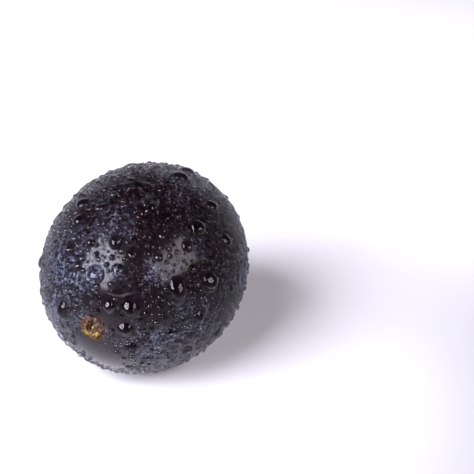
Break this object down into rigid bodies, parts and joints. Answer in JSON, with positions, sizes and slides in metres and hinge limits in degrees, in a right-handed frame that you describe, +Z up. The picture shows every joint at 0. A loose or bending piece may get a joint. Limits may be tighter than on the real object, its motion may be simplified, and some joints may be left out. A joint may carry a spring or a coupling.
{
  "type": "grape",
  "caption": "Dark blue table grape picked off its stalk and lying on its side, with a torn stalk scar, a waxy bloom and beads of water clinging to its skin.",
  "frame": {"origin": "middle of the small flat spot that the berry rests on", "axes": "+Z up, +Y along the berry's long axis towards its tip, so the stalk scar faces -Y"},
  "size_m": [0.024, 0.028, 0.0238],
  "materials": {
    "grape_skin": "taut waxy fruit skin, purple-black where it is rubbed and blue-grey under the bloom, wet",
    "water": "clear beads of water that cling to the skin",
    "stalk_scar": "dry torn fibre, brown with yellow and olive tufts"
  },
  "bodies": {
    "root": {"berry": "grape_skin"}
  },
  "joints": []
}
